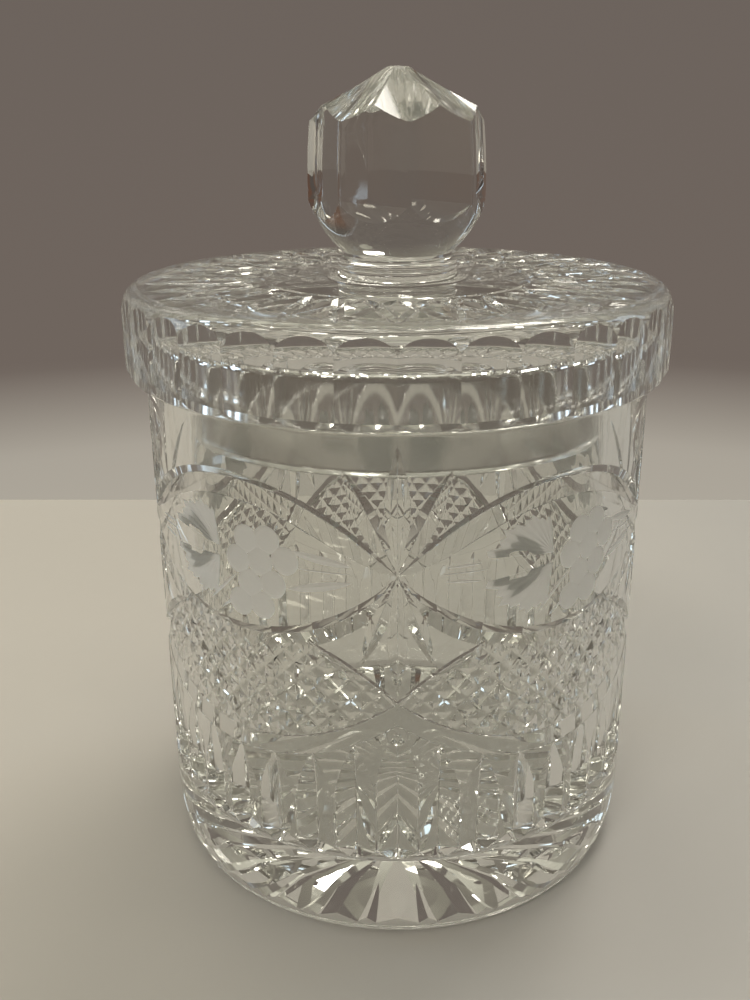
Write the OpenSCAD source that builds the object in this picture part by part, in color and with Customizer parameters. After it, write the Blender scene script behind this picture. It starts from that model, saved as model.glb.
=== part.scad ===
// Cut-glass biscuit jar: a thick tumbler-shaped jar and a loose lid with a faceted knob.
// Millimetres, +Z up, origin at the middle of the foot.

/* [Jar] */
// Outer diameter of the jar's straight wall
jar_d = 134.4; // [110:0.2:170]
// Height from the foot to the rim
jar_h = 136.8; // [120:0.2:200]
// Wall thickness at the mouth
jar_wall = 9.6; // [6:0.1:14]
// Thickness of the solid foot under the inside floor
floor_t = 18; // [12:0.5:24]
// Radius of the inside corner between floor and wall
floor_round = 6; // [2:0.5:10]
// How far the foot draws in below the wall, on each side
foot_draw = 2.6; // [1:0.1:5]
// Height over which the foot draws in
foot_rise = 15.7; // [8:0.1:20]
// Rounding of the rim
rim_round = 1.2; // [0.4:0.1:2.5]

/* [Foot] */
// Width of the flat ring that the jar stands on
rest_ring = 5; // [3:0.5:10]
// Depth of the hollow inside that ring
punt_depth = 0.8; // [0.4:0.1:2]
// Number of mitres in the star under the foot
star_points = 24; // [12:2:32]
// Depth of those mitres at their outer ends
star_depth = 2.4; // [1:0.1:4]
// Diameter of the plain spot in the middle of the star
star_eye = 18; // [12:1:30]
// Width of the plain border between the star and the ring
star_border = 1; // [0.5:0.1:4]

/* [Panels] */
// Number of eye-shaped panels round the wall
panels = 5; // [4:1:6]
// Height of the points where two eye panels meet
eye_z = 102.9; // [95:0.1:104]
// Height of the points where two diamond panels meet
diamond_z = 70.6; // [66:0.1:72]
// Rise of the eye's upper band above its points
eye_rise = 21.3; // [14:0.1:24]
// Fall of the eye's lower band below its points
eye_fall = 23.2; // [16:0.1:26]
// Fall of the diamond panel's band below its points
diamond_fall = 20.2; // [14:0.1:22]
// Width of every band at its middle
band_w = 6.6; // [4:0.1:8]
// Depth of every band
band_depth = 0.9; // [0.3:0.1:1.5]

/* [Blades] */
// Length of the star's tallest blade, upwards
blade_up = 30; // [20:0.5:32]
// Length of the star's lowest blade, downwards
blade_down = 30; // [20:0.5:34]
// Length of the two upper side blades
side_up = 27.5; // [16:0.5:30]
// Lean of the two upper side blades
side_up_lean = 26; // [15:1:35]
// Length of the two lower side blades
side_down = 24.5; // [16:0.5:28]
// Lean of the two lower side blades
side_down_lean = 20; // [12:1:30]
// Depth of a blade at its middle
blade_depth = 1.1; // [0.4:0.1:2]
// Width of a blade at its middle
blade_w = 3.6; // [2:0.1:5]

/* [Flutes] */
// Number of flutes between two diamond points
flutes_per_panel = 8; // [6:1:10]
// Height at which the flutes start
flute_foot = 26; // [20:0.5:30]
// Depth of a flute at its foot
flute_depth = 1.8; // [0.6:0.1:2.6]
// Gap between a flute's tip and the band above it
flute_gap = 1; // [0.5:0.1:4]

/* [Lid] */
// How far the lid's edge stands out past the jar's wall
lid_overhang = 4.8; // [2:0.1:8]
// Height of the lid's edge
lid_h = 23; // [18:0.2:30]
// Thickness of the plate between the recess and the top
plate_t = 12.8; // [8:0.1:16]
// Rounding along the lid's upper edge
lid_round_top = 2.8; // [1:0.1:4]
// Rounding along the lid's lower edge
lid_round_low = 3.4; // [1:0.1:4]
// Drop of the locating ring below the jar's rim
ring_drop = 13.4; // [8:0.1:20]
// Thickness of the locating ring
ring_wall = 6; // [4:0.1:8]
// Clearance between the locating ring and the jar's mouth, on each side
mouth_gap = 1.6; // [0.8:0.1:3]
// Number of flutes round the lid's edge
lid_flutes = 34; // [24:1:40]
// Depth of those flutes
lid_flute_depth = 0.9; // [0.4:0.1:1.4]
// Number of lozenges cut round the top
lozenges = 32; // [16:1:36]
// Radius at which the lozenges start
lozenge_in = 37; // [32:0.5:42]
// Width of the plain border outside them
lozenge_border = 6; // [5:0.5:10]
// Depth of the cuts between them
lozenge_depth = 0.8; // [0.3:0.1:1.5]
// Width of the cuts between them
lozenge_w = 2.6; // [1:0.1:3.4]

/* [Collar] */
// Diameter of the collar's narrow ring
collar_d = 30.4; // [24:0.2:34]
// Height of the collar
collar_h = 6.8; // [5:0.2:10]
// Diameter of the collar where it meets the lid
collar_foot_d = 37.4; // [36:0.2:44]
// Thickness of the collar's foot at its edge
foot_edge = 0.8; // [0.4:0.1:1.2]
// Height of the rounded ring in the collar
ring_bead = 2.6; // [1.6:0.1:3]
// Height of the neck that carries the knob
neck_h = 1.4; // [0.6:0.1:1.8]
// Depth of the groove between ring and neck
neck_in = 0.8; // [0.2:0.1:1.2]

/* [Knob] */
// Width of the knob across its corners
knob_d = 46.8; // [40:0.2:56]
// Height of the knob
knob_h = 45; // [38:0.2:56]
// Height of the turned bowl under the panels
bowl_h = 13.6; // [10:0.2:16]
// Height of the crown over the panels
crown_h = 12.6; // [9:0.2:15]
// Diameter of the flat at the very top
tip_d = 5; // [3:0.2:8]
// Depth of the hollow in each crown facet
crown_hollow = 1.2; // [0.4:0.1:2]
// Turn of the knob about its axis
knob_turn = 6.3; // [-22:0.1:22]

/* [Hidden] */
$fn = 96;

sides = 8;
jar_r = jar_d / 2;
mouth_r = jar_r - jar_wall;
foot_r = jar_r - foot_draw;
punt_r = foot_r - rest_ring;
lid_r = jar_r + lid_overhang;
lid_top = jar_h + lid_h;
ring_r = mouth_r - mouth_gap;
recess_r = ring_r - ring_wall;
recess_z = lid_top - plate_t;
ring_z = jar_h - ring_drop;
collar_r = collar_d / 2;
collar_top = lid_top + collar_h;
knob_r = knob_d / 2;
knob_top = collar_top + knob_h;
panel_foot_z = collar_top + bowl_h;
half_arc = PI * jar_r / panels;
past = 2; // how far a cutter stands outside the glass
run_out = 0.15; // how far a cut's edge rises past the face at its tip
band_end = 0.3; // share of a band's depth left at its ends
flute_spread = 1.12; // how far flutes overlap at their feet
band_runs = 8; // straight runs in each band
run_overlap = 1.02; // how far each run reaches into the next
mitre_share = 0.93; // share of its sector that a mitre in the foot's star fills

// Radius of the circle through two points half apart on each side and one rise above them
function bow(half, rise) = (half * half + rise * rise) / (2 * rise);

// Height below its ends, x from the middle, of a bow that falls by rise
function bow_drop(half, rise, x) =
    sqrt(max(0, pow(bow(half, rise), 2) - x * x)) - bow(half, rise) + rise;

// A disc that rounds a corner of a half section
module rounding(x, z, r) {
    translate([x, z]) circle(r, $fn = 64);
}

// Half section of the jar's outside
module jar_outline() {
    translate([0, foot_rise]) square([jar_r, jar_h - foot_rise - rim_round]);
    translate([0, foot_rise]) square([jar_r - rim_round, jar_h - foot_rise]);
    rounding(jar_r - rim_round, jar_h - rim_round, rim_round);
}

// The foot's side is an arc that meets the wall without a corner
module foot_outline() {
    arc_r = bow(foot_rise, foot_draw);
    intersection() {
        square([jar_r, foot_rise]);
        translate([jar_r - arc_r, foot_rise]) circle(arc_r, $fn = 360);
    }
}

// Half section of the inside, rounded between floor and wall
module jar_hollow() {
    translate([0, floor_t]) square([mouth_r - floor_round, jar_h]);
    translate([0, floor_t + floor_round]) square([mouth_r, jar_h]);
    rounding(mouth_r - floor_round, floor_t + floor_round, floor_round);
}

// A straight V cut along +Y in a face whose outside is +Z, its edge sinking from depth d0 to d1
module v_cut(length, half_width, depth, d0, d1) {
    lean = atan((d1 - d0) / length);
    high = depth + past;
    wide = half_width * high / depth;
    translate([0, 0, -d0]) rotate([90 - lean, 0, 0]) mirror([0, 0, 1])
        linear_extrude(length / cos(lean)) polygon([[0, 0], [wide, high], [-wide, high]]);
}

// Lays a cut against the wall, turn degrees round and at height z
module on_wall(turn, z) {
    rotate([0, 0, turn]) translate([0, -jar_r, z]) rotate([90, 0, 0]) children();
}

// A blade from a panel point: a V cut that is deepest at its middle
module blade(length, lean) {
    half = length / 2;
    on_wall(asin(half * sin(lean) / jar_r), eye_z + half * cos(lean)) rotate([0, 0, -lean])
        for (end = [0, 1]) rotate([0, 0, end * 180])
            v_cut(half, blade_w / 2, blade_depth, blade_depth, -run_out);
}

// Six blades that leave one point between two eye panels
module star() {
    blade(blade_up, 0);
    blade(blade_down, 180);
    for (side = [-1, 1]) {
        blade(side_up, side * side_up_lean);
        blade(side_down, 180 - side * side_down_lean);
    }
}

// Place of a band's middle line, t from -1 to 1 across a panel: [round the wall, up the wall]
function band_point(z, rise, up, t) =
    [t * half_arc, z + up * bow_drop(half_arc, rise - band_w / 2, t * half_arc)];

// Depth of a band there: it is shallow at its ends
function band_sink(t) = band_depth * (band_end + (1 - band_end) * cos(90 * t));

// A curved V cut from one point of a panel to the next, in short straight runs
module band(z, rise, up) {
    for (i = [0 : band_runs - 1]) {
        t0 = i * 2 / band_runs - 1;
        t1 = t0 + 2 / band_runs;
        a = band_point(z, rise, up, t0);
        b = band_point(z, rise, up, t1);
        run = b - a;
        long = norm(run) * run_overlap;
        on_wall((a[0] + b[0]) / 2 / jar_r * 180 / PI, (a[1] + b[1]) / 2)
            rotate([0, 0, -atan2(run[0], run[1])]) translate([0, -long / 2, 0])
                v_cut(long, band_w / 2, band_depth, band_sink(t0), band_sink(t1));
    }
}

module panel_bands() {
    for (p = [0 : panels - 1]) rotate([0, 0, (p + 0.5) * 360 / panels]) {
        band(eye_z, eye_rise, 1);
        band(eye_z, eye_fall, -1);
        band(diamond_z, diamond_fall, -1);
    }
}

// Height of a flute's tip, turn degrees from the middle of a panel
function flute_tip(turn) =
    diamond_z - bow_drop(half_arc, diamond_fall, jar_r * turn * PI / 180) - flute_gap;

module flute_ring() {
    step = 360 / panels / flutes_per_panel;
    for (p = [0 : panels - 1], i = [0 : flutes_per_panel - 1])
        on_wall((p + 0.5) * 360 / panels + (i - flutes_per_panel / 2) * step, flute_foot)
            v_cut(flute_tip((i - flutes_per_panel / 2) * step) - flute_foot,
                  jar_r * sin(step / 2) * flute_spread, flute_depth, flute_depth, -run_out);
}

// The hollow under the foot and the star cut in it
module foot_star() {
    start = star_eye / 2;
    reach = punt_r - star_border;
    translate([0, 0, -past]) cylinder(h = punt_depth + past, r = punt_r);
    for (i = [0 : star_points - 1]) rotate([0, 0, i * 360 / star_points])
        translate([0, start, punt_depth]) mirror([0, 0, 1])
            v_cut(reach - start, reach * tan(180 / star_points) * mitre_share,
                  star_depth, -run_out, star_depth);
}

module jar() {
    color([0.86, 0.88, 0.87, 0.6]) difference() {
        rotate_extrude() {
            jar_outline();
            foot_outline();
        }
        rotate_extrude() jar_hollow();
        flute_ring();
        panel_bands();
        for (p = [0 : panels - 1]) rotate([0, 0, p * 360 / panels]) star();
        foot_star();
    }
}

// Half section of the lid: plate, edge, underside and locating ring
module lid_outline() {
    difference() {
        union() {
            translate([0, jar_h]) square([lid_r - lid_round_low, lid_h]);
            translate([0, jar_h + lid_round_low])
                square([lid_r, lid_h - lid_round_low - lid_round_top]);
            translate([0, jar_h + lid_round_low]) square([lid_r - lid_round_top, lid_h - lid_round_low]);
            rounding(lid_r - lid_round_low, jar_h + lid_round_low, lid_round_low);
            rounding(lid_r - lid_round_top, lid_top - lid_round_top, lid_round_top);
            translate([0, ring_z + ring_wall / 2]) square([ring_r, ring_drop]);
            rounding(recess_r + ring_wall / 2, ring_z + ring_wall / 2, ring_wall / 2);
        }
        square([recess_r, recess_z]);
    }
}

module lid_edge_flutes() {
    step = 360 / lid_flutes;
    r = bow(lid_r * sin(step / 2), lid_flute_depth);
    for (i = [0 : lid_flutes - 1]) rotate([0, 0, (i + 0.5) * step])
        translate([0, lid_flute_depth - lid_r * cos(step / 2) - r, jar_h - past])
            cylinder(h = lid_h + 2 * past, r = r);
}

// Crossing V cuts that leave a ring of lozenges on the lid's top
module lozenge_cuts() {
    step = 360 / lozenges;
    out = lid_r - lozenge_border;
    run = [out * sin(step), out * cos(step) - lozenge_in];
    for (i = [0 : lozenges - 1], side = [0, 1]) rotate([0, 0, i * step]) mirror([side, 0, 0])
        translate([0, lozenge_in, lid_top]) rotate([0, 0, -atan2(run[0], run[1])])
            v_cut(norm(run), lozenge_w / 2, lozenge_depth, lozenge_depth, lozenge_depth);
}

module lid() {
    color([0.84, 0.86, 0.85, 0.6]) difference() {
        rotate_extrude() lid_outline();
        lid_edge_flutes();
        lozenge_cuts();
    }
}

// A foot that spreads onto the lid, a rounded ring and a neck under the knob
module knob_collar() {
    foot_h = collar_h - ring_bead - neck_h;
    color([0.82, 0.84, 0.83, 0.6]) translate([0, 0, lid_top]) rotate_extrude() {
        square([collar_r - neck_in, collar_h]);
        polygon([[0, 0], [collar_foot_d / 2, 0], [collar_foot_d / 2, foot_edge],
                 [collar_r, foot_h], [0, foot_h]]);
        translate([collar_r - ring_bead / 2, foot_h + ring_bead / 2]) circle(ring_bead / 2);
        translate([0, collar_h - neck_h]) square([collar_r, neck_h]);
    }
}

// Half section of the turned knob before its panels and crown are cut
module knob_outline() {
    arc_r = bow(bowl_h, knob_r - collar_r);
    translate([0, panel_foot_z]) square([knob_r + past, knob_h - bowl_h]);
    intersection() {
        translate([0, collar_top]) square([knob_r, bowl_h]);
        translate([knob_r - arc_r, panel_foot_z]) circle(arc_r, $fn = 180);
    }
}

// Hollow facets that fall from the tip to each corner of the panels
module crown_facets() {
    run = knob_r - tip_d / 2;
    r = bow(knob_r * sin(180 / sides), crown_hollow);
    for (i = [0 : sides - 1]) rotate([0, 0, (i + 0.5) * 360 / sides])
        translate([0, -tip_d / 2, knob_top]) rotate([90 + atan(crown_h / run), 0, 0])
            translate([0, r, -past]) cylinder(h = norm([crown_h, run]) + 3 * past, r = r, $fn = 128);
}

module knob() {
    color([0.9, 0.9, 0.89, 0.6]) rotate([0, 0, knob_turn]) difference() {
        intersection() {
            rotate_extrude() knob_outline();
            rotate([0, 0, 180 / sides]) translate([0, 0, collar_top - past])
                cylinder(h = knob_h + 2 * past, r = knob_r, $fn = 8);
        }
        crown_facets();
    }
}

jar();
lid();
knob_collar();
knob();
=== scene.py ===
# Cut-glass biscuit jar with a loose lid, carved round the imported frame.
# Pieces are shaped in millimetres and brought to metres when they are done.
import bpy
import math
from mathutils import Matrix, Vector


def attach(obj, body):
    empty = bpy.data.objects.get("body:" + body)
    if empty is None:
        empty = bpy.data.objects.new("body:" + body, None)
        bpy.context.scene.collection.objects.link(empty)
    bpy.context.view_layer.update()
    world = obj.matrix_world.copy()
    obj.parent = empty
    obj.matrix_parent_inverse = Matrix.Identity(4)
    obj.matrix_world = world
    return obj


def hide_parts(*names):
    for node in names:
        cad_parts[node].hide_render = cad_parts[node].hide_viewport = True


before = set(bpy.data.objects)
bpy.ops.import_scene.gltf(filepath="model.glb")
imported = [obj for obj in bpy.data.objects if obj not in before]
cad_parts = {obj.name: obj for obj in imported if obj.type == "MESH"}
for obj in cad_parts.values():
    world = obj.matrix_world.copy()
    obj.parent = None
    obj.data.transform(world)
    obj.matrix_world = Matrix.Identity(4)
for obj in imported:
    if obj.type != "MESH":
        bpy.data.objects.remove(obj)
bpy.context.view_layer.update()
mm = 0.001
around = 360            # facets in one full turn
near = 0.01             # heights and radii closer than this count as the same
# points closer than this are merged
weld = {"tool": 0.0001, "patch": 0.0005, "piece": 0.001, "sector": 0.0012, "middle": 0.002, "mirror": 0.003}
# edges flatter than this many degrees are shaded smooth
smoothBelow = {"wall": 5, "star": 8, "shell": 40, "lid": 13, "collar": 35, "knob": 12}
print("frame loaded:", sorted(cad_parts))


def nothingSelected():
    if bpy.context.object and bpy.context.object.mode != "OBJECT":
        bpy.ops.object.mode_set(mode="OBJECT")
    bpy.ops.object.select_all(action="DESELECT")


def pick(piece):
    nothingSelected()
    piece.select_set(True)
    bpy.context.view_layer.objects.active = piece


def editAll(piece):
    pick(piece)
    bpy.ops.object.mode_set(mode="EDIT")
    bpy.ops.mesh.select_all(action="SELECT")


def leaveEdit():
    bpy.ops.object.mode_set(mode="OBJECT")


def setPoints(piece, points):
    piece.data.vertices.foreach_set("co", [c for p in points for c in p])
    piece.data.update()


def faceOut(piece, gap=weld["piece"]):
    editAll(piece)
    bpy.ops.mesh.remove_doubles(threshold=gap)
    bpy.ops.mesh.delete_loose(use_verts=True, use_edges=True, use_faces=False)
    bpy.ops.mesh.select_all(action="SELECT")
    bpy.ops.mesh.normals_make_consistent(inside=False)
    leaveEdit()


def shade(piece, degrees):
    pick(piece)
    bpy.ops.object.shade_smooth_by_angle(angle=math.radians(degrees))


def markFaces(piece, wanted):
    pick(piece)
    bpy.ops.object.mode_set(mode="EDIT")
    bpy.ops.mesh.select_mode(type="FACE")
    bpy.ops.mesh.select_all(action="DESELECT")
    leaveEdit()
    for face in piece.data.polygons:
        face.select = wanted(face.center)


def dropFaces(piece, unwanted):
    markFaces(piece, unwanted)
    bpy.ops.object.mode_set(mode="EDIT")
    bpy.ops.mesh.delete(type="FACE")
    leaveEdit()


def finishModifier(piece, modifier):
    pick(piece)
    bpy.ops.object.modifier_apply(modifier=modifier.name)


def joined(pieces, name):
    nothingSelected()
    for piece in pieces:
        piece.select_set(True)
    bpy.context.view_layer.objects.active = pieces[0]
    bpy.ops.object.join()
    pieces[0].name = pieces[0].data.name = name
    return pieces[0]


def turned(piece, degrees):
    pick(piece)
    bpy.ops.object.duplicate(linked=False)
    copy = bpy.context.object
    copy.data.transform(Matrix.Rotation(math.radians(degrees), 4, "Z"))
    return copy


# A closed body through a row of equal outlines
def loft(name, outlines):
    sides, runs = len(outlines[0]), len(outlines) - 1
    nothingSelected()
    bpy.ops.mesh.primitive_grid_add(x_subdivisions=sides, y_subdivisions=runs, size=1)
    body = bpy.context.object
    body.name = name
    setPoints(body, [p for ring in outlines for p in list(ring) + [ring[0]]])
    editAll(body)
    bpy.ops.mesh.remove_doubles(threshold=weld["tool"])
    bpy.ops.mesh.fill_holes(sides=0)
    bpy.ops.mesh.select_all(action="SELECT")
    bpy.ops.mesh.normals_make_consistent(inside=False)
    leaveEdit()
    return body


# A line of (radius, height) points spun round the axis
def lathe(name, line, degrees=360, start=0, steps=None, closed=False):
    nothingSelected()
    bpy.ops.mesh.primitive_circle_add(vertices=len(line), radius=1, fill_type="NOTHING")
    body = bpy.context.object
    body.name = name
    at = math.radians(start)
    setPoints(body, [(r * math.sin(at), -r * math.cos(at), z) for r, z in line])
    if not closed:
        first, last = 0, len(line) - 1
        for edge in body.data.edges:
            edge.select = set(edge.vertices) == {first, last}
        for vertex in body.data.vertices:
            vertex.select = vertex.index in (first, last)
        bpy.ops.object.mode_set(mode="EDIT")
        bpy.ops.mesh.select_mode(type="EDGE")
        bpy.ops.mesh.delete(type="EDGE")
        leaveEdit()
    editAll(body)
    if closed and degrees < 360:
        bpy.ops.mesh.edge_face_add()
        bpy.ops.mesh.select_all(action="SELECT")
    bpy.ops.mesh.spin(steps=steps or round(around * degrees / 360), dupli=False,
                      angle=-math.radians(degrees), center=(0, 0, 0), axis=(0, 0, 1))
    bpy.ops.mesh.select_all(action="SELECT")
    bpy.ops.mesh.remove_doubles(threshold=weld["piece"])
    bpy.ops.mesh.dissolve_degenerate(threshold=weld["tool"])
    bpy.ops.mesh.select_all(action="SELECT")
    bpy.ops.mesh.normals_make_consistent(inside=False)
    leaveEdit()
    return body


# Points of an arc, angles in degrees from +radius towards +height
def arc(r, z, size, a0, a1, steps):
    turn = [math.radians(a0 + (a1 - a0) * i / steps) for i in range(steps + 1)]
    return [(r + size * math.cos(a), z + size * math.sin(a)) for a in turn]


# Cuts every tool in the list out of a body, then removes the tools
def carve(body, tools, finish):
    rack = bpy.data.collections.new("carvingTools")
    bpy.context.scene.collection.children.link(rack)
    for tool in tools:
        if not tool.data.materials:
            tool.data.materials.append(finish)
        for home in list(tool.users_collection):
            home.objects.unlink(tool)
        rack.objects.link(tool)
    cut = body.modifiers.new("carve", "BOOLEAN")
    cut.operation, cut.solver = "DIFFERENCE", "EXACT"
    cut.operand_type, cut.collection = "COLLECTION", rack
    cut.material_mode = "TRANSFER"
    finishModifier(body, cut)
    for tool in tools:
        bpy.data.objects.remove(tool)
    bpy.data.collections.remove(rack)


def toMetres(piece):
    editAll(piece)
    bpy.ops.transform.resize(value=(mm, mm, mm), center_override=(0, 0, 0))
    leaveEdit()


def newMaterial(name):
    material = bpy.data.materials.new(name)
    material.use_nodes = True
    nodes, links = material.node_tree.nodes, material.node_tree.links
    return material, nodes, links, nodes["Principled BSDF"]


glass = {
    "tint": (0.87, 0.875, 0.85, 1),
    "ior": 1.54,
    "cutRoughness": 0.004,
    "hatchRoughness": 0.035,
    "ringRoughness": 0.11,
    "crownRoughness": 0.07,
    "waveScale": 45,
    "waveStrength": 0.05,
    "cutWave": 0.03,
    "knobWave": 0.01,
    "waveHeight": 0.001,
    "frostTint": (0.93, 0.94, 0.93, 1),
    "frostRoughness": 0.5,
    "frostSpread": 0.1,
    "frostClear": 0.34,
    "gritScale": 900,
    "gritStrength": 0.35,
    "gritHeight": 0.0002,
}


def polishedGlass(name, roughness, wave):
    material, nodes, links, shader = newMaterial(name)
    shader.inputs["Base Color"].default_value = glass["tint"]
    shader.inputs["Transmission Weight"].default_value = 1
    shader.inputs["IOR"].default_value = glass["ior"]
    shader.inputs["Roughness"].default_value = roughness
    place = nodes.new("ShaderNodeTexCoord")
    waves = nodes.new("ShaderNodeTexNoise")
    waves.inputs["Scale"].default_value = glass["waveScale"]
    waves.inputs["Detail"].default_value = 1
    bump = nodes.new("ShaderNodeBump")
    bump.inputs["Strength"].default_value = wave
    bump.inputs["Distance"].default_value = glass["waveHeight"]
    links.new(place.outputs["Object"], waves.inputs["Vector"])
    links.new(waves.outputs["Fac"], bump.inputs["Height"])
    links.new(bump.outputs["Normal"], shader.inputs["Normal"])
    return material


def frostedGlass():
    material, nodes, links, shader = newMaterial("frostedEngraving")
    shader.inputs["Base Color"].default_value = glass["frostTint"]
    shader.inputs["Transmission Weight"].default_value = glass["frostClear"]
    shader.inputs["IOR"].default_value = glass["ior"]
    place = nodes.new("ShaderNodeTexCoord")
    grit = nodes.new("ShaderNodeTexNoise")
    grit.inputs["Scale"].default_value = glass["gritScale"]
    grit.inputs["Detail"].default_value = 3
    spread = nodes.new("ShaderNodeMapRange")
    spread.inputs["To Min"].default_value = glass["frostRoughness"] - glass["frostSpread"]
    spread.inputs["To Max"].default_value = glass["frostRoughness"] + glass["frostSpread"]
    bump = nodes.new("ShaderNodeBump")
    bump.inputs["Strength"].default_value = glass["gritStrength"]
    bump.inputs["Distance"].default_value = glass["gritHeight"]
    links.new(place.outputs["Object"], grit.inputs["Vector"])
    links.new(grit.outputs["Fac"], spread.inputs["Value"])
    links.new(spread.outputs["Result"], shader.inputs["Roughness"])
    links.new(grit.outputs["Fac"], bump.inputs["Height"])
    links.new(bump.outputs["Normal"], shader.inputs["Normal"])
    return material


def clearJoin():
    material, nodes, links, shader = newMaterial("hotJoin")
    nodes.remove(shader)
    through = nodes.new("ShaderNodeBsdfTransparent")
    links.new(through.outputs["BSDF"], nodes["Material Output"].inputs["Surface"])
    return material


wallGlass = polishedGlass("wallCrystal", 0.0, glass["waveStrength"])
cutGlass = polishedGlass("cutCrystal", glass["cutRoughness"], glass["cutWave"])
hatchGlass = polishedGlass("hatchCrystal", glass["hatchRoughness"], glass["waveStrength"])
ringGlass = polishedGlass("groundRing", glass["ringRoughness"], glass["waveStrength"])
bowlGlass = polishedGlass("knobCrystal", 0.0, glass["knobWave"])
crownGlass = polishedGlass("crownCrystal", glass["crownRoughness"], glass["knobWave"])
frosting = frostedGlass()
hotJoin = clearJoin()
print("glass mixed")


# the wall is carved between the core and skin sizes; spareTurn is cut off each side of a sector
jar = {
    "wallRadius": 67.2, "insideRadius": 57.6, "rim": 136.8, "rimRound": 1.2,
    "floor": 18, "floorRound": 6, "footRadius": 64.6, "footRise": 15.7,
    "footEdge": 0.8, "punt": 0.8, "puntRadius": 59.6,
    "skinLow": 20, "skinHigh": 135, "coreRadius": 61, "spareTurn": 2,
    "panels": 5, "eyeNode": 102.9, "diamondNode": 70.7,
}
halfPanel = math.pi * jar["wallRadius"] / jar["panels"]
halfTurn = 180 / jar["panels"]


# A point s along the wall from the panel's middle, z up and d into the glass
def onWall(s, z, d):
    turn, r = s / jar["wallRadius"], jar["wallRadius"] - d
    return (r * math.sin(turn), -r * math.cos(turn), z)


capHeight = 0.45        # how far cutting tools stand out of the glass
# how far a tool's lowest line has risen out of the glass where its cut ends
runOut = {"blade": 0.02, "groove": 0.05, "flute": 0.03, "mitre": 0.03, "stroke": 0.01}
# fine lines of a cut; they fade out where it is shallower than full and are gone below none
fineLine = {
    "step": 0.13, "stepWide": 0.09, "stepPast": 0.2, "crease": 0.13, "creaseHalf": 0.11,
    "none": 0.3, "full": 0.6,
}


# Section across a V cut: a fine step at each edge and a fine line along the crease
def cutSection(deep, runLeft, runRight):
    share = min(1, max(0, (deep - fineLine["none"]) / (fineLine["full"] - fineLine["none"])))
    step, shoulder, reach = fineLine["step"], fineLine["creaseHalf"], deep + capHeight
    sides = []
    for run in (runLeft, runRight):
        foot = (deep - step) * run
        edge = foot + fineLine["stepWide"]
        # the step runs on past the surface, so that it crosses it cleanly
        fine = ((edge + fineLine["stepPast"], -capHeight), (edge + fineLine["stepWide"] / 2, -step / 2),
                (foot, step), (shoulder, deep - shoulder / run))
        plain = [(reach * run * part, deep - reach * part) for part in (1, 0.8, 0.6, 0.25)]
        sides.append([(a * share + b * (1 - share), c * share + d * (1 - share))
                      for (a, c), (b, d) in zip(fine, plain)])
    left = [(-off, d) for off, d in sides[0]]
    return left + [(0, deep + fineLine["crease"] * share)] + sides[1][::-1]


# Curved mitres: one steep narrow face above and one broad face below
bands = {
    "eyeTop": {"node": "eyeNode", "rise": 21.3, "width": 7.1, "ramp": 10, "power": 0.9, "tail": 0,
               "steep": 0.30},
    "eyeLow": {"node": "eyeNode", "rise": -16.8, "width": 6.4, "ramp": 9, "power": 1.1, "tail": 0,
               "steep": 0.40},
    "diamondLow": {"node": "diamondNode", "rise": -14.1, "width": 5.9, "ramp": 0, "power": 1, "tail": 7,
                   "steep": 0.20},
    "diamondTop": {"node": "diamondNode", "rise": 18.6, "width": 4.0, "ramp": 6, "power": 1, "tail": 0,
                   "steep": 0.42, "from": 19.5},
}
# a band starts a little past the panel's middle, or opens over openIn from a start of its own
bandCut = {"depth": 1.2, "runs": 34, "pastMiddle": 2.5, "openIn": 6, "openLate": 0.1, "endShare": 0.02}


# Radius and middle height of a band's curve, and whether it bows up or down
def bandBow(band):
    rise, up = abs(band["rise"]), 1 if band["rise"] > 0 else -1
    size = (halfPanel ** 2 + rise ** 2) / (2 * rise)
    return size, jar[band["node"]] - up * (size - rise), up


# beyond is the arc length past the node, negative inside the panel
def bandWidth(band, beyond):
    if band["tail"]:
        t = (band["tail"] - beyond) / band["tail"]
        return band["width"] * (min(t, 1) ** 0.5 if t > 0 else -bandCut["endShare"])
    if beyond >= 0:
        return -bandCut["endShare"] * band["width"]
    return band["width"] * math.tanh(-beyond / band["ramp"]) ** band["power"]


def bandTool(name, mirrored=False):
    band = bands[name]
    size, heart, up = bandBow(band)
    endTurn = math.asin(halfPanel / size)
    slope = bandCut["depth"] / band["width"]
    steep = band["steep"]       # share of the width that the steep face takes
    a0 = band.get("from", -bandCut["pastMiddle"]) / size
    a1 = endTurn + band["tail"] / size
    outlines = []
    for i in range(bandCut["runs"] + 1):
        a = a0 + (a1 - a0) * i / bandCut["runs"]
        wide = bandWidth(band, (a - endTurn) * size)
        if "from" in band:
            wide = min(wide, band["width"] * ((a - a0) * size - bandCut["openLate"]) / bandCut["openIn"])
        deep = wide * slope
        s, z = size * math.sin(a), heart + up * size * math.cos(a)
        down = (-up * math.sin(a), -math.cos(a))
        ring = []
        for off, d in cutSection(deep, steep / slope, (1 - steep) / slope):
            off += steep * wide
            x = s + down[0] * off
            ring.append(onWall(2 * halfPanel - x if mirrored else x, z + down[1] * off, d))
        outlines.append(ring)
    return loft(name + "Tool", outlines)


# Blades of the star: length, lean from upright, widest cut and depth
blades = {
    "tall": {"length": 30.8, "lean": 0, "width": 6.4, "depth": 1.5},
    "upSide": {"length": 28, "lean": 26.2, "width": 5.8, "depth": 1.5},
    "downSide": {"length": 24.8, "lean": 159.5, "width": 4.6, "depth": 1.4},
    "low": {"length": 31, "lean": 180, "width": 5.2, "depth": 1.4},
}
bladeCut = {"steps": 16, "swell": 0.85}


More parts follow.
